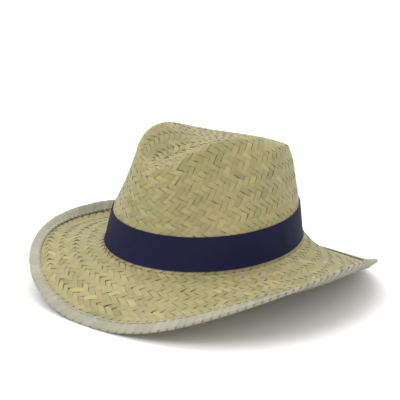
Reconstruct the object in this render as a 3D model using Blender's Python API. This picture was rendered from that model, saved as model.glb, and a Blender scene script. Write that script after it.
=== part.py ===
"""Plaited straw fedora with a bound brim edge and a slip-on ribbon band.

The hat is drawn in its own block frame, where the crown's foot lies level at z = 0, the front
faces -Y and the wearer's left is +X.  Every piece hangs on one empty, which tips that frame
forward until the front and the back of the brim both touch the surface under the hat.
"""
import math

import bmesh
import bpy
import numpy as np

# Crown, outer face of the straw.
FOOT_HALF_WIDTH = 0.0871
FOOT_HALF_LENGTH = 0.0987
BAND_TAPER = 0.0056
BAND_SHIFT = 0.0031
RIM_WIDTHS = (0.0527, -0.0148, 0.0076)
RIM_HALF_LENGTH = 0.0877
RIM_CENTRE_Y = 0.0042
RIM_HEIGHTS = (0.0899, 0.0095, -0.0103, -0.0042)
DENT_HALF_WIDTH = 0.0150
DENT_HALF_LENGTH = 0.0560
DENT_CENTRE_Y = -0.0100
DENT_HEIGHTS = (0.0830, 0.0010)
PINCH_ANGLE = math.radians(56.0)
PINCH_SPREAD = math.radians(35.0)
WALL_LEAN = 0.61
PINCH_LEAN = 0.50

# Brim, measured to the straw's edge.
BRIM_HALF_WIDTH = 0.1420
BRIM_FRONT = 0.1642
BRIM_BACK = 0.1827
BRIM_SQUARENESS = 2.27
BRIM_HEIGHTS = (-0.0248, 0.0201, -0.0221, -0.0028, 0.0005, -0.0012)
BRIM_FALLS = (0.87, 0.33)
LIP_DEPTHS = (0.0000, -0.0018, -0.0012)
CURL_DEPTH = 0.0165
CURL_ANGLE = math.radians(102.0)
CURL_SPREAD = math.radians(33.0)
FOOT_FILLET = 0.0018

# Materials' thicknesses and clearances.
STRAW_THICKNESS = 0.0020
GAP = 0.0003

# Edge binding, its reed and its two threads.
BINDING_WIDTH = 0.0074
BINDING_THICKNESS = 0.0008
REED_RADIUS = 0.0010
THREAD_RADIUS = 0.0004
STITCH_MARGIN = 0.0011
STITCH_INSET = BINDING_WIDTH - STITCH_MARGIN
BINDING_INSETS = (0.0, BINDING_WIDTH / 2.0, BINDING_WIDTH)

# Ribbon band.
RIBBON_HEIGHT = 0.0312
RIBBON_FOOT = 0.0012
RIBBON_THICKNESS = 0.0008
LAP_ANGLE = math.radians(-140.0)
LAP_SEGMENTS = 2

# Sweatband, the tape over its joint, its thread and the size label.
SWEATBAND_HEIGHT = 0.0270
SWEATBAND_FOOT = 0.0030
SWEATBAND_THICKNESS = 0.0009
SWEATBAND_JOINT = 0.0008
TAPE_WIDTH = 0.0160
TAPE_THICKNESS = 0.0005
LABEL_WIDTH = 0.0180
LABEL_HEIGHT = 0.0120
LABEL_THICKNESS = 0.0005
LABEL_ANGLE = math.radians(158.0)

SEGMENTS = 60


def clear_scene():
    for old in list(bpy.data.objects):
        bpy.data.objects.remove(old, do_unlink=True)


def make_material(name, colour, roughness):
    material = bpy.data.materials.new(name)
    material.use_nodes = True
    shader = material.node_tree.nodes["Principled BSDF"]
    shader.inputs["Base Color"].default_value = (*colour, 1.0)
    shader.inputs["Roughness"].default_value = roughness
    shader.inputs["Metallic"].default_value = 0.0
    material.diffuse_color = (*colour, 1.0)
    return material


def make_object(name, mesh, material, parent):
    mesh.materials.append(material)
    mesh.shade_smooth()
    mesh.set_sharp_from_angle(angle=math.radians(40.0))
    piece = bpy.data.objects.new(name, mesh)
    bpy.context.collection.objects.link(piece)
    piece.parent = parent
    return piece


def wave(theta, terms):
    """Sum of cosines of theta, so every outline is the same on the left and the right."""
    return sum(term * np.cos(order * theta) for order, term in enumerate(terms))


def oval(theta, half_width, half_length, height):
    flat = np.zeros_like(theta)
    return np.stack([half_width * np.sin(theta), -half_length * np.cos(theta), height + flat], -1)


def brim_edge(theta):
    side, front = np.sin(theta), np.cos(theta)
    power = 2.0 / BRIM_SQUARENESS
    reach = np.where(front > 0.0, BRIM_FRONT, BRIM_BACK)
    x = BRIM_HALF_WIDTH * np.sign(side) * np.abs(side) ** power
    y = -reach * np.sign(front) * np.abs(front) ** power
    return np.stack([x, y, wave(theta, BRIM_HEIGHTS)], -1)


def wall_fraction(theta, climb):
    """How far the wall has come in from the band to the rim, at a share of its climb."""
    nearness = np.exp(-((np.abs(theta) - PINCH_ANGLE) / PINCH_SPREAD) ** 2)
    lean = WALL_LEAN + PINCH_LEAN * nearness
    return lean * climb + (1.0 - lean) * climb ** 8


def surface_rows(theta):
    """Rings of the hat block, from the brim's edge in to the dent in the crown."""
    edge = brim_edge(theta)
    foot = oval(theta, FOOT_HALF_WIDTH + FOOT_FILLET, FOOT_HALF_LENGTH + FOOT_FILLET, -0.0010)
    corner = oval(theta, FOOT_HALF_WIDTH, FOOT_HALF_LENGTH, FOOT_FILLET)
    band_top = oval(theta, FOOT_HALF_WIDTH - BAND_TAPER, FOOT_HALF_LENGTH - BAND_TAPER, RIBBON_HEIGHT)
    band_top[:, 1] += BAND_SHIFT
    rim_x = wave(theta, RIM_WIDTHS) * np.sin(theta)
    rim_y = RIM_CENTRE_Y - RIM_HALF_LENGTH * np.cos(theta)
    rim = np.stack([rim_x, rim_y, wave(theta, RIM_HEIGHTS)], -1)
    dent = oval(theta, DENT_HALF_WIDTH, DENT_HALF_LENGTH, 0.0)
    dent[:, 1] += DENT_CENTRE_Y
    dent[:, 2] = wave(theta, DENT_HEIGHTS)
    width = np.hypot(edge[:, 0] - foot[:, 0], edge[:, 1] - foot[:, 1])
    shares = [1.0 - inset / width for inset in BINDING_INSETS]
    shares += [np.full_like(theta, share) for share in (0.70, 0.55, 0.38, 0.18)]
    curl = CURL_DEPTH * np.exp(-((np.abs(theta) - CURL_ANGLE) / CURL_SPREAD) ** 2)
    rows = []
    for out in shares:
        ring = foot + (edge - foot) * out[:, None]
        ring[:, 2] = foot[:, 2] + (edge[:, 2] - foot[:, 2]) * out ** wave(theta, BRIM_FALLS)
        ring[:, 2] -= wave(theta, LIP_DEPTHS) * (out - out ** 5)
        ring[:, 2] -= curl * (out - out ** 7)
        rows.append(ring)
    rows += [foot, corner, band_top]
    for climb in (0.22, 0.46, 0.70, 0.88, 1.0):
        inward = wall_fraction(theta, climb)[:, None]
        ring = band_top + (rim - band_top) * inward
        ring[:, 2] = band_top[:, 2] + (rim[:, 2] - band_top[:, 2]) * climb
        rows.append(ring)
    for inward in (0.22, 0.50, 0.78):
        ring = rim + (dent - rim) * inward
        fall = 0.6 * math.sin(inward * math.pi / 2.0) ** 2 + 0.4 * inward
        ring[:, 2] = rim[:, 2] + (dent[:, 2] - rim[:, 2]) * fall
        rows.append(ring)
    rows.append(dent)
    return np.array(rows)


def smooth_rows(rows, steps):
    """Hermite curves through the rows, with the given steps in each span."""
    lengths = np.sqrt(((rows[1:] - rows[:-1]) ** 2).sum(-1)).mean(1)
    knots = np.concatenate([[0.0], np.cumsum(np.sqrt(lengths))])
    slopes = np.zeros_like(rows)
    slopes[0] = (rows[1] - rows[0]) / (knots[1] - knots[0])
    slopes[-1] = (rows[-1] - rows[-2]) / (knots[-1] - knots[-2])
    for i in range(1, len(rows) - 1):
        before = (rows[i] - rows[i - 1]) / (knots[i] - knots[i - 1])
        after = (rows[i + 1] - rows[i]) / (knots[i + 1] - knots[i])
        share = (knots[i] - knots[i - 1]) / (knots[i + 1] - knots[i - 1])
        slopes[i] = before * (1.0 - share) + after * share
    out = []
    for i, count in enumerate(steps):
        span = knots[i + 1] - knots[i]
        for u in np.arange(count) / count:
            ring = (2 * u ** 3 - 3 * u ** 2 + 1) * rows[i] + (u ** 3 - 2 * u ** 2 + u) * span * slopes[i]
            ring += (3 * u ** 2 - 2 * u ** 3) * rows[i + 1] + (u ** 3 - u ** 2) * span * slopes[i + 1]
            out.append(ring)
    out.append(rows[-1])
    return np.array(out)


def circle_of_angles():
    return np.arange(SEGMENTS) * (2.0 * math.pi / SEGMENTS) - math.pi


def outer_skin(theta):
    """The straw's upper and outer face as rings, with its outward normals."""
    rings = smooth_rows(surface_rows(theta), [1] * 13 + [2, 2] + [1] * 3)
    along = np.gradient(rings, axis=0)
    round_hat = np.roll(rings, -1, axis=1) - np.roll(rings, 1, axis=1)
    normal = np.cross(round_hat, along)
    return rings, normal / np.linalg.norm(normal, axis=-1, keepdims=True)


def close_across(mesh, ring, flip):
    """Fill the innermost ring with strips that run from its left to its right side."""
    half = SEGMENTS // 2
    for i in range(half):
        corners = (ring[i], ring[i + 1], ring[(SEGMENTS - i - 1) % SEGMENTS], ring[(SEGMENTS - i) % SEGMENTS])
        corners = list(dict.fromkeys(corners))
        mesh.faces.new(reversed(corners) if flip else corners)


def straw_hood(material, parent):
    """One woven shell: brim, crown wall, rim and dent, with the same thickness all over."""
    rings, normals = outer_skin(circle_of_angles())
    mesh = bmesh.new()
    skins = []
    for depth in (0.0, STRAW_THICKNESS):
        skins.append([[mesh.verts.new(point) for point in ring] for ring in rings - normals * depth])
    outer, inner = skins
    for i in range(SEGMENTS):
        j = (i + 1) % SEGMENTS
        for low, high in zip(outer[:-1], outer[1:]):
            mesh.faces.new((low[i], low[j], high[j], high[i]))
        for low, high in zip(inner[:-1], inner[1:]):
            mesh.faces.new((low[j], low[i], high[i], high[j]))
        mesh.faces.new((outer[0][j], outer[0][i], inner[0][i], inner[0][j]))
    close_across(mesh, outer[-1], False)
    close_across(mesh, inner[-1], True)
    bmesh.ops.recalc_face_normals(mesh, faces=mesh.faces)
    shell = bpy.data.meshes.new("straw_hood")
    mesh.to_mesh(shell)
    mesh.free()
    return make_object("straw_hood", shell, material, parent)


def swept_ring(name, loops, material, parent, closed=True):
    """Skin a list of closed cross-sections, joined round or ended with flat caps."""
    mesh = bmesh.new()
    grid = [[mesh.verts.new(point) for point in loop] for loop in loops]
    count = len(grid[0])
    last = len(grid) if closed else len(grid) - 1
    for i in range(last):
        here, there = grid[i], grid[(i + 1) % len(grid)]
        for k in range(count):
            n = (k + 1) % count
            mesh.faces.new((here[k], here[n], there[n], there[k]))
    if not closed:
        mesh.faces.new(grid[0])
        mesh.faces.new(grid[-1])
    bmesh.ops.recalc_face_normals(mesh, faces=mesh.faces)
    body = bpy.data.meshes.new(name)
    mesh.to_mesh(body)
    mesh.free()
    return make_object(name, body, material, parent)


def brim_layer(row, lift):
    """Ring that follows one of the brim's first rings, lifted off its upper face."""
    rings, normals = outer_skin(circle_of_angles())
    return rings[row] + normals[row] * lift


def edge_directions():
    """The edge's own ring, its normals and the way straight out from the brim."""
    rings, normals = outer_skin(circle_of_angles())
    outward = rings[0] - rings[1]
    outward /= np.linalg.norm(outward, axis=-1, keepdims=True)
    return rings[0], normals[0], outward


def brim_binding(material, parent):
    """Strip folded over the brim's edge: a flange above, a round nose and a flange below."""
    edge, normal, outward = edge_directions()
    nose = REED_RADIUS + GAP
    centre = edge + outward * nose - normal * (STRAW_THICKNESS / 2.0)
    turns = [math.radians(angle) for angle in (70.0, 25.0, -25.0, -70.0)]
    far = nose + BINDING_THICKNESS
    loop = [brim_layer(row, GAP + BINDING_THICKNESS) for row in (2, 1, 0)]
    loop += [centre + far * (outward * math.cos(turn) + normal * math.sin(turn)) for turn in turns]
    loop += [brim_layer(row, -STRAW_THICKNESS - GAP - BINDING_THICKNESS) for row in (0, 1, 2)]
    loop += [brim_layer(row, -STRAW_THICKNESS - GAP) for row in (2, 1, 0)]
    loop += [centre + nose * (outward * math.cos(turn) + normal * math.sin(turn)) for turn in reversed(turns)]
    loop += [brim_layer(row, GAP) for row in (0, 1, 2)]
    return swept_ring("brim_binding", np.transpose(np.array(loop), (1, 0, 2)), material, parent)


def tube_loops(centres, first, second, radius, sides):
    loops = []
    for k in range(sides):
        turn = 2.0 * math.pi * k / sides
        loops.append(centres + radius * (first * math.cos(turn) + second * math.sin(turn)))
    return np.transpose(np.array(loops), (1, 0, 2))


def edge_reed(material, parent):
    """Stiffening reed in the fold, which holds the brim's curl."""
    edge, normal, outward = edge_directions()
    centre = edge + outward * (REED_RADIUS + GAP) - normal * (STRAW_THICKNESS / 2.0)
    loops = tube_loops(centre, outward, normal, REED_RADIUS - GAP / 3.0, 6)
    return swept_ring("edge_reed", loops, material, parent)


def binding_thread(name, side, material, parent):
    """Thread line of the binding's seam, above the brim (side 1) or under it (side -1)."""
    normal, outward = edge_directions()[1:]
    lift = GAP + BINDING_THICKNESS + GAP + THREAD_RADIUS
    if side < 0:
        lift = -(STRAW_THICKNESS + lift)
    share = STITCH_INSET / BINDING_WIDTH * 2.0 - 1.0
    centre = brim_layer(1, lift) * (1.0 - share) + brim_layer(2, lift) * share
    loops = tube_loops(centre, outward, normal, THREAD_RADIUS, 4)
    return swept_ring(name, loops, material, parent)


def wall_ring(theta, height, offset):
    """Ring round the crown's lower wall, offset outward from the straw's outer face."""
    rows = surface_rows(theta)[7:12]
    points = []
    for i in range(len(theta)):
        x = np.interp(height, rows[:, i, 2], rows[:, i, 0])
        y = np.interp(height, rows[:, i, 2], rows[:, i, 1])
        points.append((x, y, height))
    ring = np.array(points)
    outward = np.stack([np.sin(theta) / FOOT_HALF_WIDTH, -np.cos(theta) / FOOT_HALF_LENGTH], -1)
    outward /= np.linalg.norm(outward, axis=-1, keepdims=True)
    ring[:, :2] += outward * offset
    return ring


def hoop_loops(theta, heights, inner, outer):
    """Cross-sections of an upright strip between two offsets, each an array over theta."""
    loop = [wall_ring(theta, height, 0.0) for height in heights]
    outward = wall_ring(theta, heights[0], 1.0) - loop[0]
    up = [ring + outward * inner[:, None] for ring in loop]
    down = [ring + outward * outer[:, None] for ring in reversed(loop)]
    return np.transpose(np.array(up + down), (1, 0, 2))


def share_levels(low, high, count):
    return [low + (high - low) * i / (count - 1) for i in range(count)]


def hat_band(material, parent):
    """Ribbon whose end laps over its beginning on the wearer's right."""
    step = 2.0 * math.pi / SEGMENTS
    start = np.round(LAP_ANGLE / step) * step
    theta = start + step * np.arange(SEGMENTS + LAP_SEGMENTS + 1)
    over = np.zeros(len(theta))
    over[SEGMENTS:] = RIBBON_THICKNESS + GAP
    over[SEGMENTS - 1] = (RIBBON_THICKNESS + GAP) * 0.5
    inner = GAP + over
    heights = [RIBBON_FOOT, FOOT_FILLET] + share_levels(RIBBON_HEIGHT / 3.0, RIBBON_HEIGHT, 3)
    loops = hoop_loops(theta, heights, inner, inner + RIBBON_THICKNESS)
    return swept_ring("hat_band", loops, material, parent, closed=False)


def upright_tube(theta, low, high, offset, radius, name, material, parent):
    """Thread line standing on the wall at one theta."""
    loops = []
    for level in share_levels(low, high, 5):
        here = wall_ring(np.array([theta]), level, offset)[0]
        outward = wall_ring(np.array([theta]), level, offset + 1.0)[0] - here
        sideways = np.array([-outward[1], outward[0], 0.0])
        turns = [2.0 * math.pi * k / 6 for k in range(6)]
        loops.append([here + radius * (outward * math.cos(t) + sideways * math.sin(t)) for t in turns])
    return swept_ring(name, np.array(loops), material, parent, closed=False)


def band_lap_thread(material, parent):
    step = 2.0 * math.pi / SEGMENTS
    middle = (np.round(LAP_ANGLE / step) + LAP_SEGMENTS / 2.0) * step
    offset = 3.0 * GAP + 2.0 * RIBBON_THICKNESS + THREAD_RADIUS
    low, high = RIBBON_FOOT + 0.003, RIBBON_HEIGHT - 0.002
    return upright_tube(middle, low, high, offset, THREAD_RADIUS, "band_lap_thread", material, parent)


def inside_face(thicknesses):
    """Offset of a face inside the crown, past the straw and the listed layers with a gap each."""
    return -(STRAW_THICKNESS + sum(GAP + layer for layer in thicknesses))


def sweatband(material, parent):
    """Tape round the inside of the crown's foot, butted at the back."""
    step = 2.0 * math.pi / SEGMENTS
    slit = SWEATBAND_JOINT / FOOT_HALF_WIDTH / 2.0
    theta = np.arange(SEGMENTS + 1) * step - math.pi
    theta[0] += slit
    theta[-1] -= slit
    outer = np.full(len(theta), inside_face([]) - GAP * 1.5)
    inner = outer - SWEATBAND_THICKNESS
    heights = share_levels(SWEATBAND_FOOT, SWEATBAND_FOOT + SWEATBAND_HEIGHT, 4)
    loops = hoop_loops(theta, heights, inner, outer)
    return swept_ring("sweatband", loops, material, parent, closed=False)


def inside_patch(name, middle, width, low, high, thickness, material, parent):
    """Small flat-lying piece of cloth on the sweatband's inner face."""
    half = width / FOOT_HALF_WIDTH / 2.0
    theta = np.linspace(middle - half, middle + half, 5)
    outer = np.full(len(theta), inside_face([SWEATBAND_THICKNESS]) - GAP * 2.0)
    loops = hoop_loops(theta, share_levels(low, high, 3), outer - thickness, outer)
    return swept_ring(name, loops, material, parent, closed=False)


def sweatband_thread(material, parent):
    theta = circle_of_angles()
    face = inside_face([SWEATBAND_THICKNESS]) - GAP * 1.8 - THREAD_RADIUS
    centre = wall_ring(theta, SWEATBAND_FOOT + 0.0018, face)
    outward = wall_ring(theta, SWEATBAND_FOOT + 0.0018, face + 1.0) - centre
    upward = np.zeros_like(outward)
    upward[:, 2] = 1.0
    loops = tube_loops(centre, outward, upward, THREAD_RADIUS, 4)
    return swept_ring("sweatband_thread", loops, material, parent)


def stand_on_brim(empty, pieces):
    """Tip the block frame so that the brim's front and back edges touch z = 0."""
    ends = brim_edge(np.array([0.0, math.pi]))
    rise = ends[0, 2] - ends[1, 2]
    reach = ends[1, 1] - ends[0, 1]
    empty.rotation_euler = (math.atan2(rise, reach), 0.0, 0.0)
    bpy.context.view_layer.update()
    corners = []
    for piece in pieces:
        corners += [piece.matrix_world @ vertex.co for vertex in piece.data.vertices]
    cloud = np.array([tuple(corner) for corner in corners])
    low, high = cloud.min(0), cloud.max(0)
    empty.location = (0.0, -(low[1] + high[1]) / 2.0, -low[2])


def main():
    clear_scene()
    straw = make_material("straw_plait", (0.62, 0.56, 0.33), 0.65)
    leaf = make_material("binding_leaf", (0.66, 0.63, 0.53), 0.60)
    reed = make_material("edge_reed", (0.55, 0.45, 0.27), 0.70)
    ribbon = make_material("ribbon", (0.030, 0.026, 0.085), 0.55)
    navy_thread = make_material("ribbon_thread", (0.022, 0.020, 0.065), 0.60)
    cotton = make_material("sweatband_cloth", (0.74, 0.70, 0.61), 0.85)
    thread = make_material("seam_thread", (0.78, 0.73, 0.60), 0.70)
    label = make_material("label_cloth", (0.86, 0.85, 0.82), 0.80)
    block = bpy.data.objects.new("block_frame", None)
    bpy.context.collection.objects.link(block)
    tape_top = SWEATBAND_FOOT + SWEATBAND_HEIGHT - 0.002
    label_low = SWEATBAND_FOOT + 0.006
    pieces = [
        straw_hood(straw, block),
        brim_binding(leaf, block),
        edge_reed(reed, block),
        binding_thread("binding_thread_top", 1, thread, block),
        binding_thread("binding_thread_under", -1, thread, block),
        hat_band(ribbon, block),
        band_lap_thread(navy_thread, block),
        sweatband(cotton, block),
        inside_patch("sweatband_joint_tape", math.pi, TAPE_WIDTH, SWEATBAND_FOOT + 0.004, tape_top,
                     TAPE_THICKNESS, cotton, block),
        sweatband_thread(thread, block),
        inside_patch("size_label", LABEL_ANGLE, LABEL_WIDTH, label_low, label_low + LABEL_HEIGHT,
                     LABEL_THICKNESS, label, block),
    ]
    stand_on_brim(block, pieces)


main()
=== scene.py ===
import math

import bmesh
import bpy
import numpy as np
from mathutils import Matrix, Vector


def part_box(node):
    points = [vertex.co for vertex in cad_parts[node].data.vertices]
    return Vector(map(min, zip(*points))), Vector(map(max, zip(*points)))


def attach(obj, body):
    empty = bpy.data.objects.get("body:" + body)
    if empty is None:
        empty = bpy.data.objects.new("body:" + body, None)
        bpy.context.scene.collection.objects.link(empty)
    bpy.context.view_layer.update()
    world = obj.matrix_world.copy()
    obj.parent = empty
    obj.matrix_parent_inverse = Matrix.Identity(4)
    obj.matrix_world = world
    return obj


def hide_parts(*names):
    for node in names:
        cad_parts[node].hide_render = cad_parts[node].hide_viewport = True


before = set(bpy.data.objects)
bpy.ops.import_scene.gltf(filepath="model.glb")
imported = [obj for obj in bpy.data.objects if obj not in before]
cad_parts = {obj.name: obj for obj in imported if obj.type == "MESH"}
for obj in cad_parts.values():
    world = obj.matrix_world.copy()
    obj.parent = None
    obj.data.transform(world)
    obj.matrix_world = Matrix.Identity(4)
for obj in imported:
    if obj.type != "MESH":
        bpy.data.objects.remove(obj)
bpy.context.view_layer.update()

bl_info = {
    "name": "Straw fedora",
    "version": (1, 0, 0),
    "blender": (4, 5, 0),
    "location": "3D View > Sidebar > Fedora",
    "description": "Weaves a straw fedora with a bound brim, a ribbon band and a sweatband",
    "category": "Object",
}

# Block shape, in metres: the crown's foot is level at z = 0 and the front faces -Y.
FOOT_HALF_WIDTH = 0.0871
FOOT_HALF_LENGTH = 0.0987
FOOT_FILLET = 0.0018
BAND_TAPER = 0.0056
BAND_SHIFT = 0.0031
BAND_LEVEL = 0.0312
RIM_WIDTHS = (0.0527, -0.0148, 0.0076)
RIM_HALF_LENGTH = 0.0877
RIM_CENTRE_Y = 0.0042
RIM_HEIGHTS = (0.0899, 0.0095, -0.0103, -0.0042)
DENT_HALF_WIDTH = 0.0150
DENT_HALF_LENGTH = 0.0560
DENT_CENTRE_Y = -0.0100
DENT_HEIGHTS = (0.0830, 0.0010)
PINCH_ANGLE = math.radians(56.0)
PINCH_SPREAD = math.radians(35.0)
WALL_LEAN = 0.61
PINCH_LEAN = 0.50
FOOT_LEVEL = -0.0010
BRIM_HALF_WIDTH = 0.1420
BRIM_FRONT = 0.1642
BRIM_BACK = 0.1827
BRIM_SQUARENESS = 2.27
BRIM_HEIGHTS = (-0.0248, 0.0201, -0.0221, -0.0028, 0.0005, -0.0012)
BRIM_FALLS = (0.87, 0.33)
LIP_DEPTHS = (0.0000, -0.0018, -0.0012)
CURL_DEPTH = 0.0165
CURL_ANGLE = math.radians(102.0)
CURL_SPREAD = math.radians(33.0)

# Where the block's rings lie: shares of the brim's width, of the wall's climb and of the way into the dent.
BRIM_SHARES = (0.70, 0.55, 0.38, 0.18)
WALL_CLIMBS = (0.22, 0.46, 0.70, 0.88, 1.0)
DENT_SHARES = (0.22, 0.50, 0.78)
FOOT_ROW = 7
COLUMNS = 720
STEPS = 10

# Straw, and how its floats lie in the weave, in crossings and in shares of a zone.
STRAW_THICKNESS = 0.0020
CORE_THICKNESS = 0.00025
GAP = 0.0003
FLOAT_LIFT = -0.00055
DENT_FLOAT_LIFT = -0.00085
FLOAT_LENGTH = 2.5
FLOAT_WIDTH = 1.9
EDGE_SAG = 0.35
PLACE_SPREAD = 0.02
WIDTH_SPREAD = 0.045
SKEW_SPREAD = 0.05
SKEW_REACH = 0.12
LEVEL_SPREAD = 0.00005
CROSSING_LENGTH = 0.0051
CROSSING_WIDTH = 0.0025
EDGE_MARGIN = 0.003
WALL_ZONES = 14
ZONES_PER_COUNT = 4

# Roughness of the dried leaf, and how far the pattern of one strip may be from another's, in metres.
LEAF_ROUGHNESS = 0.52
PATTERN_SPAN_ALONG = 40.0
PATTERN_SPAN_ACROSS = 9.0

# Binding of the brim's edge.
BINDING_WIDTH = 0.0074
BINDING_PATTERN_WIDTH = 0.026
BINDING_LEAF = 0.0004
BINDING_LIFT = 0.00072
BINDING_WRAPS = 124
WRAP_SLANT = 1.6
WRAP_SAMPLES = 10
WRAP_STEP = 0.00022
FOLD_START = 0.36
FOLD_END = 0.64
FOLD_ANGLE = math.radians(80.0)
REED_RADIUS = 0.0010
NOSE_RADIUS = REED_RADIUS + 2.0 * GAP
JOINT_WIDTH = 1.1
JOINT_PLACES = (0.0, 0.36, 0.44, 0.60, 0.70, 1.0)
JOINT_DEPTHS = (0.07, 0.10, 0.62, 0.62, 0.78, 0.78)
STITCH_INSET = BINDING_WIDTH - 0.0011
STITCH_LIFT = 0.00125

# Ribbon, sweatband and label, with levels counted up the wall from the foot.
RIBBON_FOOT = 0.0026
RIBBON_THICKNESS = 0.0008
RIBBON_CLOTH = 0.00055
LAP_TURN = -138.0 / 360.0
LAP_SHARE = 12.0 / 360.0
SWEATBAND_FOOT = 0.0045
SWEATBAND_HEIGHT = 0.0270
SWEATBAND_CLOTH = 0.0008
SWEATBAND_SLIT = 0.0007
SWEATBAND_SEAM = 0.0022
INSIDE_DEPTH = 0.0040
TAPE_TURNS = (0.4855, 0.5145)
TAPE_LEVELS = (0.0090, 0.0290)
LABEL_TURN = 158.0 / 360.0
LABEL_HALF_TURN = 0.0164
LABEL_LEVELS = (0.0110, 0.0230)

# Rows of stitches: pitch, length and radius.
BRIM_STITCH = (0.0062, 0.0052, 0.00042)
LAP_STITCH = (0.0030, 0.0024, 0.00028)
SWEATBAND_STITCH = (0.0050, 0.0040, 0.00036)

# Stage.
LIGHT_TARGET = (0.0, 0.0, 0.06)
WORLD_STRENGTH = 0.98
CAMERA_AZIMUTH = math.radians(35.65)
CAMERA_ELEVATION = math.radians(18.39)
CAMERA_ROLL = math.radians(0.75)
CAMERA_DISTANCE = 1.133
CAMERA_TARGET_HEIGHT = 0.041
CAMERA_LENS = 111.0
CAMERA_SHIFT = (-0.0135, -0.0175)


def wave(theta, terms):
    """Sum of cosines of theta, so every outline is the same on the left and the right."""
    return sum(term * np.cos(order * theta) for order, term in enumerate(terms))


def oval(theta, half_width, half_length, height):
    flat = np.zeros_like(theta)
    return np.stack([half_width * np.sin(theta), -half_length * np.cos(theta), height + flat], -1)


def brim_edge(theta):
    side, front = np.sin(theta), np.cos(theta)
    power = 2.0 / BRIM_SQUARENESS
    reach = np.where(front > 0.0, BRIM_FRONT, BRIM_BACK)
    x = BRIM_HALF_WIDTH * np.sign(side) * np.abs(side) ** power
    y = -reach * np.sign(front) * np.abs(front) ** power
    return np.stack([x, y, wave(theta, BRIM_HEIGHTS)], -1)


def surface_rows(theta):
    """Rings of the hat block, from the brim's edge in to the dent in the crown."""
    edge = brim_edge(theta)
    foot = oval(theta, FOOT_HALF_WIDTH + FOOT_FILLET, FOOT_HALF_LENGTH + FOOT_FILLET, FOOT_LEVEL)
    corner = oval(theta, FOOT_HALF_WIDTH, FOOT_HALF_LENGTH, FOOT_FILLET)
    band_top = oval(theta, FOOT_HALF_WIDTH - BAND_TAPER, FOOT_HALF_LENGTH - BAND_TAPER, BAND_LEVEL)
    band_top[:, 1] += BAND_SHIFT
    rim_x = wave(theta, RIM_WIDTHS) * np.sin(theta)
    rim_y = RIM_CENTRE_Y - RIM_HALF_LENGTH * np.cos(theta)
    rim = np.stack([rim_x, rim_y, wave(theta, RIM_HEIGHTS)], -1)
    dent = oval(theta, DENT_HALF_WIDTH, DENT_HALF_LENGTH, 0.0)
    dent[:, 1] += DENT_CENTRE_Y
    dent[:, 2] = wave(theta, DENT_HEIGHTS)
    width = np.hypot(edge[:, 0] - foot[:, 0], edge[:, 1] - foot[:, 1])
    shares = [1.0 - inset / width for inset in (0.0, BINDING_WIDTH / 2.0, BINDING_WIDTH)]
    shares += [np.full_like(theta, share) for share in BRIM_SHARES]
    curl = CURL_DEPTH * np.exp(-((np.abs(theta) - CURL_ANGLE) / CURL_SPREAD) ** 2)
    rows = []
    for out in shares:
        ring = foot + (edge - foot) * out[:, None]
        ring[:, 2] = foot[:, 2] + (edge[:, 2] - foot[:, 2]) * out ** wave(theta, BRIM_FALLS)
        ring[:, 2] -= wave(theta, LIP_DEPTHS) * (out - out ** 5)
        ring[:, 2] -= curl * (out - out ** 7)
        rows.append(ring)
    rows += [foot, corner, band_top]
    nearness = np.exp(-((np.abs(theta) - PINCH_ANGLE) / PINCH_SPREAD) ** 2)
    lean = WALL_LEAN + PINCH_LEAN * nearness
    for climb in WALL_CLIMBS:
        inward = (lean * climb + (1.0 - lean) * climb ** 8)[:, None]
        ring = band_top + (rim - band_top) * inward
        ring[:, 2] = band_top[:, 2] + (rim[:, 2] - band_top[:, 2]) * climb
        rows.append(ring)
    for inward in DENT_SHARES:
        ring = rim + (dent - rim) * inward
        fall = 0.6 * math.sin(inward * math.pi / 2.0) ** 2 + 0.4 * inward
        ring[:, 2] = rim[:, 2] + (dent[:, 2] - rim[:, 2]) * fall
        rows.append(ring)
    rows.append(dent)
    return np.array(rows)


def smooth_rows(rows, count):
    """Hermite curves through the rows, with count steps in each span."""
    lengths = np.sqrt(((rows[1:] - rows[:-1]) ** 2).sum(-1)).mean(1)
    knots = np.concatenate([[0.0], np.cumsum(np.sqrt(lengths))])
    slopes = np.zeros_like(rows)
    slopes[0] = (rows[1] - rows[0]) / (knots[1] - knots[0])
    slopes[-1] = (rows[-1] - rows[-2]) / (knots[-1] - knots[-2])
    for i in range(1, len(rows) - 1):
        before = (rows[i] - rows[i - 1]) / (knots[i] - knots[i - 1])
        after = (rows[i + 1] - rows[i]) / (knots[i + 1] - knots[i])
        share = (knots[i] - knots[i - 1]) / (knots[i + 1] - knots[i - 1])
        slopes[i] = before * (1.0 - share) + after * share
    out = []
    for i in range(len(rows) - 1):
        span = knots[i + 1] - knots[i]
        for u in np.arange(count) / count:
            ring = (2 * u ** 3 - 3 * u ** 2 + 1) * rows[i] + (u ** 3 - 2 * u ** 2 + u) * span * slopes[i]
            ring += (3 * u ** 2 - 2 * u ** 3) * rows[i + 1] + (u ** 3 - u ** 2) * span * slopes[i + 1]
            out.append(ring)
    out.append(rows[-1])
    return np.array(out)


def ring_length(points):
    return float(np.linalg.norm(np.roll(points, -1, axis=0) - points, axis=-1).sum())


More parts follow.
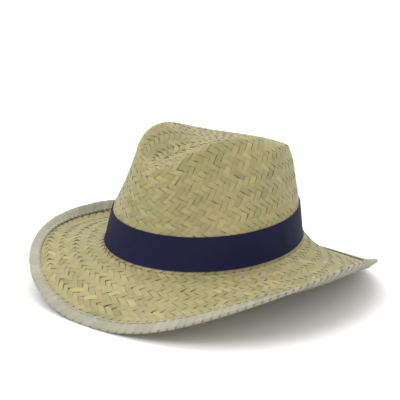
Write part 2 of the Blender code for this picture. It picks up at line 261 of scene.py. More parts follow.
class Skin:
    """A stretch of the straw's face as a table: rows every ROW_STEP metres, columns round the hat.

    With keep_length the rows are true distances and the columns end where the face does.  Without
    it every column is stretched to the same length, so that its end is reached all the way round.
    """

    ROW_STEP = 0.001

    def __init__(self, points, normals, keep_length):
        self.keep_length = keep_length
        away = np.linalg.norm(points[1:] - points[:-1], axis=-1)
        travelled = np.concatenate([np.zeros((1, points.shape[1])), np.cumsum(away, 0)])
        self.length = travelled[-1]
        longest = self.length.max() if keep_length else self.length.mean()
        levels = np.arange(0.0, longest + self.ROW_STEP, self.ROW_STEP)
        self.points = np.zeros((len(levels), points.shape[1], 3))
        self.normals = np.zeros_like(self.points)
        self.mean_length = longest
        for column in range(points.shape[1]):
            scale = 1.0 if keep_length else longest / self.length[column]
            along = travelled[:, column] * scale
            for axis in range(3):
                self.points[:, column, axis] = np.interp(levels, along, points[:, column, axis])
                self.normals[:, column, axis] = np.interp(levels, along, normals[:, column, axis])
        ring = self.points[:: max(1, len(levels) // 6)]
        hop = np.linalg.norm(np.roll(ring, -1, axis=1) - ring, axis=-1)
        hop /= hop.sum(1, keepdims=True)
        self.shares = np.concatenate([[0.0], np.cumsum(hop.mean(0))])

    def turn(self, share):
        """Column of a share of the way round, counted so that equal shares are equally long."""
        whole = np.floor(share)
        return np.interp(share - whole, self.shares, np.arange(COLUMNS + 1)) + whole * COLUMNS

    def around(self, distance):
        """Length of the way round the hat at a distance along the face."""
        return ring_length(self.points[min(int(distance / self.ROW_STEP), len(self.points) - 1)])

    def length_at(self, column):
        """Length of the face at any column, whole or not."""
        return np.interp(column % COLUMNS, np.arange(COLUMNS + 1), np.append(self.length, self.length[0]))

    def look(self, table, column, row):
        """Value of a table between its columns and rows."""
        row = np.clip(row / self.ROW_STEP, 0.0, len(table) - 1.001)
        low_row = np.floor(row).astype(int)
        low_column = np.floor(column).astype(int)
        up = (row - low_row)[..., None]
        on = (column - low_column)[..., None]
        first, second = low_column % COLUMNS, (low_column + 1) % COLUMNS
        near = table[low_row, first] * (1 - on) + table[low_row, second] * on
        far = table[low_row + 1, first] * (1 - on) + table[low_row + 1, second] * on
        return near * (1 - up) + far * up

    def place(self, column, row, lift):
        """Point at a column and a distance along, lifted off the face."""
        normal = self.look(self.normals, column, row)
        normal /= np.linalg.norm(normal, axis=-1, keepdims=True)
        return self.look(self.points, column, row) + normal * np.asarray(lift)[..., None], normal


def to_rest(points, pitch, shift):
    """From the block's frame to the frame of the hat standing on its brim."""
    turn = np.array(Matrix.Rotation(pitch, 3, "X"))
    return points @ turn.T + shift


def rest_placing(rings):
    """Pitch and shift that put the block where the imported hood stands."""
    front, back = rings[0][COLUMNS // 2], rings[0][0]
    pitch = math.atan2(front[2] - back[2], back[1] - front[1])
    turned = to_rest(rings, pitch, np.zeros(3)).reshape(-1, 3)
    low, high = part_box("straw_hood")
    middle = (turned[:, 1].min() + turned[:, 1].max()) / 2.0
    return pitch, np.array([0.0, (low[1] + high[1]) / 2.0 - middle, high[2] - turned[:, 2].max()])


def survey():
    """Both faces of the straw as tables: the brim from the crown outward, the crown from its foot up."""
    theta = np.arange(COLUMNS) * (2.0 * math.pi / COLUMNS) - math.pi
    rings = smooth_rows(surface_rows(theta), STEPS)
    along = np.gradient(rings, axis=0)
    round_hat = np.roll(rings, -1, axis=1) - np.roll(rings, 1, axis=1)
    normals = np.cross(round_hat, along)
    normals /= np.linalg.norm(normals, axis=-1, keepdims=True)
    pitch, shift = rest_placing(rings)
    rings = to_rest(rings, pitch, shift)
    normals = to_rest(normals, pitch, np.zeros(3))
    foot = FOOT_ROW * STEPS
    inner = rings - normals * STRAW_THICKNESS
    return {
        "pitch": pitch,
        "shift": shift,
        "rings": rings,
        "normals": normals,
        "brim_out": Skin(rings[foot::-1], normals[foot::-1], True),
        "crown_out": Skin(rings[foot:], normals[foot:], False),
        "brim_in": Skin(inner[foot::-1], -normals[foot::-1], True),
        "crown_in": Skin(inner[foot:], -normals[foot:], False),
    }


HAT = survey()


# ---------------------------------------------------------------- meshes

def deselect_all():
    if bpy.context.mode != "OBJECT":
        bpy.ops.object.mode_set(mode="OBJECT")
    bpy.ops.object.select_all(action="DESELECT")


def select_only(piece):
    deselect_all()
    piece.select_set(True)
    bpy.context.view_layer.objects.active = piece


def edit_all(piece, operator, **options):
    """Runs a mesh operator on the whole of a piece in edit mode."""
    select_only(piece)
    bpy.ops.object.mode_set(mode="EDIT")
    bpy.ops.mesh.select_all(action="SELECT")
    operator(**options)
    bpy.ops.object.mode_set(mode="OBJECT")


def vertex_points(data):
    flat = np.zeros(len(data.vertices) * 3)
    data.vertices.foreach_get("co", flat)
    return flat.reshape(-1, 3)


def loop_vertices(mesh):
    corners = np.zeros(len(mesh.loops), dtype=int)
    mesh.loops.foreach_get("vertex_index", corners)
    return corners


def grid_object(name, columns, rows):
    """A flat grid of columns by rows faces, ready to be laid on the hat."""
    deselect_all()
    bpy.ops.mesh.primitive_grid_add(x_subdivisions=columns, y_subdivisions=rows, size=1.0)
    piece = bpy.context.object
    piece.name = piece.data.name = name
    return piece


def apply_modifiers(piece):
    select_only(piece)
    for modifier in list(piece.modifiers):
        bpy.ops.object.modifier_apply(modifier=modifier.name)


def close_seam(piece):
    """Joins the grid's two ends where it goes all the way round."""
    edit_all(piece, bpy.ops.mesh.remove_doubles, threshold=0.00002)


def outward_normals(piece):
    edit_all(piece, bpy.ops.mesh.normals_make_consistent, inside=False)


def outward_normals_open(piece):
    """Turns an open sheet's faces away from the hat's axis."""
    outward_normals(piece)
    face = piece.data.polygons[len(piece.data.polygons) // 2]
    if face.normal.dot(Vector((face.center.x, face.center.y, 0.0))) < 0.0:
        edit_all(piece, bpy.ops.mesh.flip_normals)


def thicken(piece, thickness, offset):
    wall = piece.modifiers.new("wall", "SOLIDIFY")
    wall.thickness = thickness
    wall.offset = offset
    wall.use_even_offset = False
    apply_modifiers(piece)
    outward_normals(piece)


def smooth(piece, angle=50.0):
    select_only(piece)
    bpy.ops.object.shade_smooth_by_angle(angle=math.radians(angle))


def take_apart(piece):
    """Vertices and faces of a template object, which is then removed."""
    data = piece.data
    points, faces = vertex_points(data), [tuple(face.vertices) for face in data.polygons]
    bpy.data.objects.remove(piece, do_unlink=True)
    bpy.data.meshes.remove(data)
    return points, faces


def strip_template(name, columns, rows, thickness):
    """One small closed strip, flat and unit sized, to be copied many times."""
    piece = grid_object(name, columns, rows)
    thicken(piece, thickness, 0.0)
    return take_apart(piece)


def stitch_template():
    """One stitch: a short rounded rod from -0.5 to 0.5 along X, with a radius of 1."""
    deselect_all()
    bpy.ops.mesh.primitive_uv_sphere_add(segments=6, ring_count=6, radius=1.0)
    bpy.ops.object.mode_set(mode="EDIT")
    bpy.ops.mesh.select_all(action="SELECT")
    bpy.ops.transform.rotate(value=math.pi / 2.0, orient_axis="Y", center_override=(0.0, 0.0, 0.0))
    bpy.ops.mesh.quads_convert_to_tris()
    bpy.ops.object.mode_set(mode="OBJECT")
    flat, faces = take_apart(bpy.context.object)
    flat[:, 0] = np.sign(flat[:, 0]) * np.minimum(np.abs(flat[:, 0]), 1.0) ** 0.8 * 0.5
    return flat, faces


def copies_object(name, points, faces, tints, along, across):
    """One object from many copies of a strip, with its tints and its own pattern coordinates."""
    copies, count = points.shape[:2]
    table = np.array(faces)
    table = (table[None] + (np.arange(copies) * count)[:, None, None]).reshape(-1, table.shape[1])
    mesh = bpy.data.meshes.new(name)
    mesh.from_pydata(points.reshape(-1, 3), [], table.tolist())
    store_tints(mesh, tints.reshape(-1, 4))
    store_pattern(mesh, along.ravel(), across.ravel())
    piece = bpy.data.objects.new(name, mesh)
    bpy.context.collection.objects.link(piece)
    smooth(piece)
    return piece


def store_tints(mesh, tints):
    colour = mesh.color_attributes.new("tint", "FLOAT_COLOR", "POINT")
    colour.data.foreach_set("color", np.ascontiguousarray(tints, dtype=float).ravel())


def store_pattern(mesh, along, across):
    """Keeps each vertex's place along and across its strip as a UV map."""
    layer = mesh.uv_layers.new(name="strip")
    corners = loop_vertices(mesh)
    layer.data.foreach_set("uv", np.stack([along[corners], across[corners]], -1).ravel())
    mesh.update()


def set_material(piece, material):
    piece.data.materials.clear()
    piece.data.materials.append(material)


def finish_piece(piece, body, slot, material, *nodes):
    """Gives a piece its material and its body, and hides the CAD nodes that it stands for; slot is not used.
    """
    set_material(piece, material)
    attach(piece, body)
    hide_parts(*nodes)


# ---------------------------------------------------------------- materials

def new_group(name, inputs, outputs):
    group = bpy.data.node_groups.new(name, "ShaderNodeTree")
    for kind, label, value in inputs:
        socket = group.interface.new_socket(label, in_out="INPUT", socket_type=kind)
        if value is not None:
            socket.default_value = value
    for kind, label in outputs:
        group.interface.new_socket(label, in_out="OUTPUT", socket_type=kind)
    return group, group.nodes.new("NodeGroupInput"), group.nodes.new("NodeGroupOutput")


def node(tree, kind, **settings):
    made = tree.nodes.new(kind)
    for key, value in settings.items():
        setattr(made, key, value)
    return made


def feed(tree, socket, value):
    """Gives a socket a number, a colour or another node's output."""
    if isinstance(value, (int, float)):
        socket.default_value = value
    elif isinstance(value, tuple):
        socket.default_value = (*value, 1.0)
    else:
        tree.links.new(value, socket)


def math_node(tree, operation, *values, clamp=False):
    made = node(tree, "ShaderNodeMath", operation=operation, use_clamp=clamp)
    for socket, value in zip(made.inputs, values):
        feed(tree, socket, value)
    return made.outputs[0]


def plus(tree, first, second, clamp=False):
    return math_node(tree, "ADD", first, second, clamp=clamp)


def minus(tree, first, second):
    return math_node(tree, "SUBTRACT", first, second)


def times(tree, first, second, clamp=False):
    return math_node(tree, "MULTIPLY", first, second, clamp=clamp)


def mix_colour(tree, factor, first, second, blend="MIX"):
    made = node(tree, "ShaderNodeMix", data_type="RGBA", blend_type=blend)
    for socket, value in zip((made.inputs[0], made.inputs[6], made.inputs[7]), (factor, first, second)):
        feed(tree, socket, value)
    return made.outputs[2]


def noise(tree, vector, scale, detail):
    made = node(tree, "ShaderNodeTexNoise")
    made.inputs["Scale"].default_value = scale
    made.inputs["Detail"].default_value = detail
    made.inputs["Roughness"].default_value = 0.6
    tree.links.new(vector, made.inputs["Vector"])
    return made.outputs["Fac"]


def stretched(tree, vector, scale):
    made = node(tree, "ShaderNodeVectorMath", operation="MULTIPLY")
    tree.links.new(vector, made.inputs[0])
    made.inputs[1].default_value = scale
    return made.outputs[0]


def ramp(tree, factor, stops):
    made = node(tree, "ShaderNodeValToRGB")
    elements = made.color_ramp.elements
    while len(elements) < len(stops):
        elements.new(0.5)
    for element, (place, colour) in zip(elements, stops):
        element.position = place
        element.color = (*colour, 1.0)
    tree.links.new(factor, made.inputs[0])
    return made.outputs[0]


def leaf_group():
    """Fibres, blotches and tints of a dried leaf strip."""
    group, given, out = new_group(
        "leaf_strip",
        [("NodeSocketVector", "Strip", None), ("NodeSocketColor", "Tint", None),
         ("NodeSocketFloat", "Fibre", 0.35), ("NodeSocketFloat", "Blotch", 0.5)],
        [("NodeSocketColor", "Shade"), ("NodeSocketFloat", "Fibres"), ("NodeSocketFloat", "Stain")],
    )
    parts = node(group, "ShaderNodeSeparateColor")
    group.links.new(given.outputs["Tint"], parts.inputs[0])
    strip = given.outputs["Strip"]
    fine = noise(group, stretched(group, strip, (60.0, 2600.0, 1.0)), 1.0, 3.0)
    coarse = noise(group, stretched(group, strip, (90.0, 700.0, 1.0)), 1.0, 2.0)
    spots = noise(group, stretched(group, strip, (160.0, 260.0, 1.0)), 1.0, 4.0)
    lines = plus(group, times(group, fine, 0.6), times(group, coarse, 0.4))
    swing = times(group, minus(group, lines, 0.5), given.outputs["Fibre"])
    tone = plus(group, parts.outputs[1], swing)
    stain = times(group, minus(group, spots, 0.56), 6.0, clamp=True)
    stain = times(group, stain, parts.outputs[2])
    stain = times(group, stain, given.outputs["Blotch"], clamp=True)
    joined = node(group, "ShaderNodeCombineColor")
    for socket in joined.inputs:
        group.links.new(tone, socket)
    group.links.new(joined.outputs[0], out.inputs["Shade"])
    group.links.new(lines, out.inputs["Fibres"])
    group.links.new(stain, out.inputs["Stain"])
    return group


def cloth_group():
    """Threads of a woven cloth as a fine over-and-under grid, and its uneven wear."""
    group, given, out = new_group(
        "woven_cloth",
        [("NodeSocketVector", "Strip", None), ("NodeSocketFloat", "Along", 2200.0),
         ("NodeSocketFloat", "Across", 2200.0)],
        [("NodeSocketFloat", "Threads"), ("NodeSocketFloat", "Wear")],
    )
    parts = node(group, "ShaderNodeSeparateXYZ")
    group.links.new(given.outputs["Strip"], parts.inputs[0])
    along = math_node(group, "SINE", times(group, parts.outputs[0], given.outputs["Along"]))
    across = math_node(group, "SINE", times(group, parts.outputs[1], given.outputs["Across"]))
    weave = times(group, along, plus(group, times(group, across, 0.35), 0.65))
    wear = noise(group, stretched(group, given.outputs["Strip"], (60.0, 90.0, 1.0)), 1.0, 4.0)
    group.links.new(weave, out.inputs["Threads"])
    group.links.new(wear, out.inputs["Wear"])
    return group


def new_material(name, roughness):
    material = bpy.data.materials.new(name)
    material.use_nodes = True
    tree = material.node_tree
    shader = tree.nodes["Principled BSDF"]
    shader.inputs["Roughness"].default_value = roughness
    return material, tree, shader


def bump(tree, shader, height, strength):
    made = node(tree, "ShaderNodeBump")
    made.inputs["Strength"].default_value = strength
    made.inputs["Distance"].default_value = 0.0002
    tree.links.new(height, made.inputs["Height"])
    tree.links.new(made.outputs[0], shader.inputs["Normal"])


def strip_coordinates(tree):
    return node(tree, "ShaderNodeUVMap", uv_map="strip").outputs[0]


def scaled(colour, factor):
    return tuple(channel * factor for channel in colour)


def leaf_material(name, group, colours, stain_colour, fibre=0.4, blotch=0.8):
    """Dried leaf: a tint per strip, pale and dark patches, long fibres and a few brown blotches."""
    material, tree, shader = new_material(name, LEAF_ROUGHNESS)
    strip = strip_coordinates(tree)
    tint = node(tree, "ShaderNodeAttribute", attribute_name="tint")
    effect = node(tree, "ShaderNodeGroup", node_tree=group)
    effect.inputs["Fibre"].default_value = fibre
    effect.inputs["Blotch"].default_value = blotch
    tree.links.new(strip, effect.inputs["Strip"])
    tree.links.new(tint.outputs["Color"], effect.inputs["Tint"])
    parts = node(tree, "ShaderNodeSeparateColor")
    tree.links.new(tint.outputs["Color"], parts.inputs[0])
    place = node(tree, "ShaderNodeTexCoord").outputs["Object"]
    patches = times(tree, minus(tree, noise(tree, place, 26.0, 3.0), 0.5), 0.7)
    base = ramp(tree, plus(tree, parts.outputs[0], patches, clamp=True), colours)
    dark = mix_colour(tree, 1.0, base, (0.80, 0.80, 0.78), "MULTIPLY")
    light = mix_colour(tree, 1.0, base, (1.18, 1.18, 1.20), "MULTIPLY")
    base = mix_colour(tree, noise(tree, place, 420.0, 3.0), dark, light)
    shaded = mix_colour(tree, 1.0, base, effect.outputs["Shade"], "MULTIPLY")
    colour = mix_colour(tree, effect.outputs["Stain"], shaded, stain_colour)
    tree.links.new(colour, shader.inputs["Base Color"])
    rough = plus(tree, times(tree, effect.outputs["Fibres"], 0.25), LEAF_ROUGHNESS - 0.12)
    tree.links.new(rough, shader.inputs["Roughness"])
    shader.inputs["Sheen Weight"].default_value = 0.08
    bump(tree, shader, effect.outputs["Fibres"], 0.5)
    return material


def cloth_material(name, group, colour, along, across, roughness, sheen, strength, shine):
    """Woven cloth with visible threads, painted shade between them, uneven wear and a soft sheen."""
    material, tree, shader = new_material(name, roughness)
    effect = node(tree, "ShaderNodeGroup", node_tree=group)
    effect.inputs["Along"].default_value = along
    effect.inputs["Across"].default_value = across
    tree.links.new(strip_coordinates(tree), effect.inputs["Strip"])
    light = mix_colour(tree, effect.outputs["Wear"], scaled(colour, 0.86), scaled(colour, 1.16))
    # Painted shade: the colour is darkened towards 0.45 in the valleys between the threads.
    valley_shade = times(tree, minus(tree, 0.6, effect.outputs["Threads"]), 0.22, clamp=True)
    tree.links.new(mix_colour(tree, valley_shade, light, scaled(colour, 0.45)), shader.inputs["Base Color"])
    shader.inputs["Sheen Weight"].default_value = sheen
    shader.inputs["Sheen Roughness"].default_value = 0.4
    shader.inputs["Specular IOR Level"].default_value = shine
    bump(tree, shader, effect.outputs["Threads"], strength)
    return material


# ---------------------------------------------------------------- weaving

def strip_tints(random, count):
    """Tint, tone and blotchiness of each leaf strip; a few strips are quite unlike the rest."""
    odd = random.random(count) < 0.07
    tint = np.where(odd, random.random(count), np.clip(random.normal(0.47, 0.13, count), 0.05, 0.80))
    tone = 1.0 + random.normal(0.0, 0.060, count)
    blotch = np.where(random.random(count) < 0.16, random.uniform(0.5, 1.0, count), 0.0)
    return np.stack([tint, tone, blotch, np.ones(count)], -1)


def float_grid(flat):
    """A template's vertices along and across a float, in crossings, and the face each belongs to."""
    return flat[:, 0] * FLOAT_LENGTH, flat[:, 1] * FLOAT_WIDTH, np.sign(flat[:, 2])


def float_arch(along, across, settings):
    """Rise of a float, highest in its middle, where it passes over others."""
    height = settings.float_height
    return np.cos(along * math.pi / 2.0) * height - across ** 2 * height * EDGE_SAG


def zone_lean(zone):
    """Which way a zone's floats lean, and where in a pitch their middles lie."""
    return (1.0, 0.25) if zone % 2 == 0 else (-1.0, 0.75)


def weave_floats(skin, flat, random, counts, settings):
    """Floats of a diagonal two-and-two weave, zone by zone.

    Every second zone leans the other way, so that the tips of the two make a row of arrowheads.
    Each float spans two crossings and its ends dip under the floats of the zones beside it.
    """
    zone_height = settings.course_height / 2.0
    along, across, face = float_grid(flat)
    a = along[None, :]
    parts = [[], [], [], []]
    palette = {}
    for zone, count in enumerate(counts):
        lean, start = zone_lean(zone)
        if count not in palette:
            palette[count] = (strip_tints(random, count), strip_tints(random, count))
        number = np.arange(count)
        strip = (number - int(lean) * 2 * (zone // 2)) % count
        middle = (number + start) / count
        middle = middle + random.normal(0.0, PLACE_SPREAD, count) / count
        height = (zone + 0.5) * zone_height + random.normal(0.0, PLACE_SPREAD, count) * zone_height
        width = 1.0 + random.normal(0.0, WIDTH_SPREAD, count)
        skew = random.normal(0.0, SKEW_SPREAD, count)[:, None] * a * zone_height * SKEW_REACH
        raise_by = random.normal(0.0, LEVEL_SPREAD, count)
        t = across[None, :] * width[:, None]
        share = middle[:, None] + (a + t / 2.0) * 0.5 / count
        row = height[:, None] + lean * (a - t / 2.0) * zone_height / 2.0 + skew
        level = FLOAT_LIFT + float_arch(a, t, settings) + raise_by[:, None]
        level = level + face[None, :] * settings.strip_thickness / 2.0
        tone = palette[count][zone % 2][strip]
        tone[:, 1] *= 1.0 + random.normal(0.0, WIDTH_SPREAD, count)
        made = (
            skin.place(skin.turn(share), row, level)[0],
            np.repeat(tone[:, None, :], len(flat), 1),
            a * CROSSING_LENGTH + random.random(count)[:, None] * PATTERN_SPAN_ALONG,
            t * CROSSING_WIDTH + random.random(count)[:, None] * PATTERN_SPAN_ACROSS,
        )
        keep = np.ones(count, bool)
        if skin.keep_length:
            column = np.floor(skin.turn(middle)).astype(int) % COLUMNS
            keep = skin.length[column] > height + EDGE_MARGIN
        for part, values in zip(parts, made):
            part.append(values[keep])
    return [np.concatenate(part) for part in parts]


def brim_counts(skin, settings):
    """Floats round each zone of the brim; strips are added every few zones as it widens."""
    counts = []
    for zone in range(int(math.ceil(skin.mean_length / (settings.course_height / 2.0)))):
        group = zone // ZONES_PER_COUNT * ZONES_PER_COUNT + ZONES_PER_COUNT // 2
        around = skin.around(group * settings.course_height / 2.0)
        counts.append(int(round(around / settings.chevron_pitch)))
    return counts


def crown_counts(skin, settings):
    """Floats round each zone of the crown: one count up the wall, then fewer towards the dent."""
    zones = int(round(skin.mean_length / (settings.course_height / 2.0)))
    counts = [skin.around((zone + 0.5) * settings.course_height / 2.0) / settings.chevron_pitch
              for zone in range(zones)]
    wall = int(round(np.mean(counts[:WALL_ZONES])))
    steps = [wall] * WALL_ZONES
    for zone in range(WALL_ZONES, zones):
        group = min(zone // ZONES_PER_COUNT * ZONES_PER_COUNT + ZONES_PER_COUNT // 2, zones - 1)
        steps.append(int(round(min(wall, counts[group]))))
    return steps


def dent_floor_floats(flat, random, settings, side):
    """Floats over the flat bottom of the dent, laid on a straight grid."""
    zone_height = settings.course_height / 2.0
    parts = [[], [], [], []]
    up = np.array(Matrix.Rotation(HAT["pitch"], 3, "X")) @ np.array([0.0, 0.0, 1.0])
    along, across, face = float_grid(flat)
    half_width, half_length = DENT_HALF_WIDTH + STRAW_THICKNESS, DENT_HALF_LENGTH + STRAW_THICKNESS
    level = DENT_FLOAT_LIFT + float_arch(along, across, settings) + face * settings.strip_thickness / 2.0
    if side < 0:
        level = -STRAW_THICKNESS - level
    for zone in range(-12, 12):
        lean, start = zone_lean(zone)
        for number in range(-4, 5):
            x = (number + start) * settings.chevron_pitch
            y = DENT_CENTRE_Y + (zone + 0.5) * zone_height
            if (x / half_width) ** 2 + ((y - DENT_CENTRE_Y) / half_length) ** 2 > 1.0:
                continue
            xs = x + (along + across / 2.0) * settings.chevron_pitch / 2.0
            ys = y + lean * (along - across / 2.0) * zone_height / 2.0
            zs = DENT_HEIGHTS[0] - DENT_HEIGHTS[1] * (ys - DENT_CENTRE_Y) / DENT_HALF_LENGTH
            points = to_rest(np.stack([xs, ys, zs], -1), HAT["pitch"], HAT["shift"])
            parts[0].append((points + level[:, None] * up)[None])
            parts[1].append(np.repeat(strip_tints(random, 1)[:, None, :], len(flat), 1))
            parts[2].append((along * CROSSING_LENGTH + random.random() * PATTERN_SPAN_ALONG)[None])
            parts[3].append((across * CROSSING_WIDTH + random.random() * PATTERN_SPAN_ACROSS)[None])
    return [np.concatenate(part) for part in parts]


def weave_piece(name, skin, counts, seed, settings, floor_side=0):
    """One face of the straw; floor_side adds the dent's floor, 1 for its top and -1 for its underside."""
    random = np.random.default_rng(seed)
    flat, faces = strip_template(name + "_float", 6, 2, 1.0)
    parts = weave_floats(skin, flat, random, counts, settings)
    if floor_side:
        more = dent_floor_floats(flat, random, settings, floor_side)
        parts = [np.concatenate(pair) for pair in zip(parts, more)]
    piece = copies_object(name, parts[0], faces, *parts[1:])
    outward_normals(piece)
    finish_piece(piece, "hat", "straw", MATERIALS["straw"], "straw_hood")


# ---------------------------------------------------------------- settings

def colour_property(name, description, default):
    return bpy.props.FloatVectorProperty(name=name, description=description, default=default,
                                         subtype="COLOR", size=3, min=0.0, max=1.0)


def length_property(name, description, default):
    return bpy.props.FloatProperty(name=name, description=description, default=default, unit="LENGTH")


class StrawSettings(bpy.types.PropertyGroup):
    course_height: length_property("Course height", "Height of one row of arrowheads", 0.0128)
    chevron_pitch: length_property("Arrowhead pitch", "Distance between arrowheads along a row", 0.0081)
    float_height: length_property("Float height", "Rise of a strip where it passes over others", 0.0005)
    strip_thickness: length_property("Strip thickness", "Thickness of one leaf strip", 0.0003)
    straw_colour: colour_property("Straw", "Most common colour of the strips", (0.300, 0.262, 0.112))
    binding_colour: colour_property("Binding", "Colour of the brim's binding", (0.320, 0.303, 0.224))


class ClothSettings(bpy.types.PropertyGroup):
    ribbon_colour: colour_property("Ribbon", "Colour of the ribbon band", (0.0125, 0.0118, 0.041))
    sweatband_colour: colour_property("Sweatband", "Colour of the sweatband's cotton", (0.46, 0.41, 0.31))
    thread_colour: colour_property("Thread", "Colour of the seam thread", (0.40, 0.375, 0.27))
    ribbon_height: length_property("Ribbon height", "Height of the ribbon band", 0.0300)


class StageSettings(bpy.types.PropertyGroup):
    floor_colour: colour_property("Floor", "Colour of the floor", (0.96, 0.96, 0.96))
    key_power: bpy.props.FloatProperty(
        name="Key light", description="Power of the large light at the front left", default=23.0,
        unit="POWER")


MATERIALS = {}


# Stops of a leaf's colour range, as factors on its main colour: greenish, yellow, tan and mauve.
LEAF_STOPS = (
    (0.0, (0.80, 0.90, 0.90)),
    (0.25, (0.93, 0.96, 0.86)),
    (0.50, (1.0, 1.0, 1.0)),
    (0.72, (1.10, 1.07, 1.12)),
    (0.88, (1.16, 1.00, 0.86)),
    (1.0, (0.92, 0.84, 1.20)),
)


def leaf_colours(colour):
    return [(place, tuple(c * f for c, f in zip(colour, factors))) for place, factors in LEAF_STOPS]


def make_materials(scene):
    straw, cloth = scene.hat_straw, scene.hat_cloth
    leaf, woven = leaf_group(), cloth_group()
    brown = (0.19, 0.115, 0.050)
    main, ribbon = tuple(straw.straw_colour), tuple(cloth.ribbon_colour)
    cotton, thread = tuple(cloth.sweatband_colour), tuple(cloth.thread_colour)
    MATERIALS["straw"] = leaf_material("straw_plait", leaf, leaf_colours(main), brown)
    # The main straw colour darkened to 0.42: painted shade for the dark sheet seen through the weave's gaps.
    MATERIALS["core"] = leaf_material("straw_in_shade", leaf, leaf_colours(scaled(main, 0.42)), brown)
    MATERIALS["binding"] = leaf_material("binding_leaf", leaf, leaf_colours(tuple(straw.binding_colour)),
                                         scaled(brown, 1.6), fibre=0.25, blotch=0.35)
    MATERIALS["reed"] = leaf_material("reed_cane", leaf, leaf_colours((0.42, 0.31, 0.15)), brown)
    for key, name, *looks in (
        ("ribbon", "ribbon_navy", ribbon, 7200.0, 5200.0, 0.60, 0.0, 0.35, 0.07),
        ("ribbon_thread", "thread_navy", scaled(ribbon, 0.8), 9000.0, 3000.0, 0.7, 0.1, 0.3, 0.4),
        ("sweatband", "sweatband_cotton", cotton, 5200.0, 5200.0, 0.85, 0.2, 0.6, 0.4),
        ("thread", "thread_cream", thread, 9000.0, 3000.0, 0.7, 0.1, 0.4, 0.4),
        ("label", "label_white", (0.74, 0.73, 0.69), 9000.0, 9000.0, 0.75, 0.15, 0.4, 0.4),
    ):
        MATERIALS[key] = cloth_material(name, woven, *looks)


# ---------------------------------------------------------------- strips that go round the hat

def lay_round(name, columns, rows, share_range, place):
    """A grid laid on the hat: place gives the point for a share round and a share across."""
    piece = grid_object(name, columns, rows)
    flat = vertex_points(piece.data)
    share = share_range[0] + (share_range[1] - share_range[0]) * (flat[:, 0] + 0.5)
    points = place(share, flat[:, 1] + 0.5)
    piece.data.vertices.foreach_set("co", np.ascontiguousarray(points).ravel())
    piece.data.update()
    return piece


def store_after(piece, tint_of, length, width):
    """Tints for a laid grid, and its pattern coordinates in metres, from its first UV map's shares."""
    mesh = piece.data
    source = mesh.uv_layers[0]
    flat = np.zeros(len(mesh.loops) * 2)
    source.data.foreach_get("uv", flat)
    flat = flat.reshape(-1, 2)
    shares = np.zeros((len(mesh.vertices), 2))
    shares[loop_vertices(mesh)] = flat
    store_tints(mesh, tint_of(shares))
    source.name = "strip"
    source.data.foreach_set("uv", (flat * np.array([length, width])).ravel())
    mesh.update()


def plain_tint(shares):
    """The main colour with no blotches, for every vertex."""
    return np.tile((0.5, 1.0, 0.0, 1.0), (len(shares), 1))


def turn_to_column(turn):
    """Column of an angle given as a part of a full turn from the hat's front, left being positive."""
    return (turn + 0.5) * COLUMNS


# ---------------------------------------------------------------- operators

class HAT_OT_brim_weave(bpy.types.Operator):
    """Weaves the upper and the lower face of the brim"""
    bl_idname = "hat.brim_weave"
    bl_label = "Weave brim"

    def execute(self, context):
        settings = context.scene.hat_straw
        for name, face, seed in (("straw_brim_top", "brim_out", 11), ("straw_brim_under", "brim_in", 12)):
            skin = HAT[face]
            weave_piece(name, skin, brim_counts(skin, settings), seed, settings)
        return {"FINISHED"}


class HAT_OT_crown_weave(bpy.types.Operator):
    """Weaves the outer and the inner face of the crown"""
    bl_idname = "hat.crown_weave"
    bl_label = "Weave crown"

    def execute(self, context):
        settings = context.scene.hat_straw
        for face, seed, side in (("crown_out", 21, 1), ("crown_in", 22, -1)):
            skin = HAT[face]
            weave_piece("straw_" + face, skin, crown_counts(skin, settings), seed, settings, side)
        return {"FINISHED"}


class HAT_OT_strip_core(bpy.types.Operator):
    """Adds a dark sheet for the strips' hidden inner crossings: painted shade that shows through the small
    gaps of the weave
    """
    bl_idname = "hat.strip_core"
    bl_label = "Add inner crossings"

    def execute(self, context):
        rings, normals = HAT["rings"][8::4, ::4], HAT["normals"][8::4, ::4]
        middle = rings - normals * STRAW_THICKNESS * 0.5
        columns = middle.shape[1]
        mesh = bmesh.new()
        grid = [[mesh.verts.new(point) for point in ring] for ring in middle]
        for low, high in zip(grid[:-1], grid[1:]):
            for i in range(columns):
                j = (i + 1) % columns
                mesh.faces.new((low[i], low[j], high[j], high[i]))
        half = columns // 2
        for i in range(half):
            corners = (grid[-1][i], grid[-1][i + 1], grid[-1][(columns - i - 1) % columns],
                       grid[-1][(columns - i) % columns])
            mesh.faces.new(list(dict.fromkeys(corners)))
        core = bpy.data.meshes.new("straw_core")
        mesh.to_mesh(core)
        mesh.free()
        piece = bpy.data.objects.new("straw_core", core)
        context.collection.objects.link(piece)
        outward_normals(piece)
        thicken(piece, CORE_THICKNESS, 0.0)
        points = vertex_points(piece.data)
        store_tints(piece.data, plain_tint(points))
        store_pattern(piece.data, points[:, 0], points[:, 1])
        smooth(piece)
        # The sheet takes the darkened straw material, which is painted shade.
        finish_piece(piece, "hat", "straw", MATERIALS["core"], "straw_hood")
        return {"FINISHED"}


def wrap_number(share, across):
    """Which wrap of leaf a place on the binding belongs to, as a number that grows round the brim."""
    return share * BINDING_WRAPS + across * WRAP_SLANT


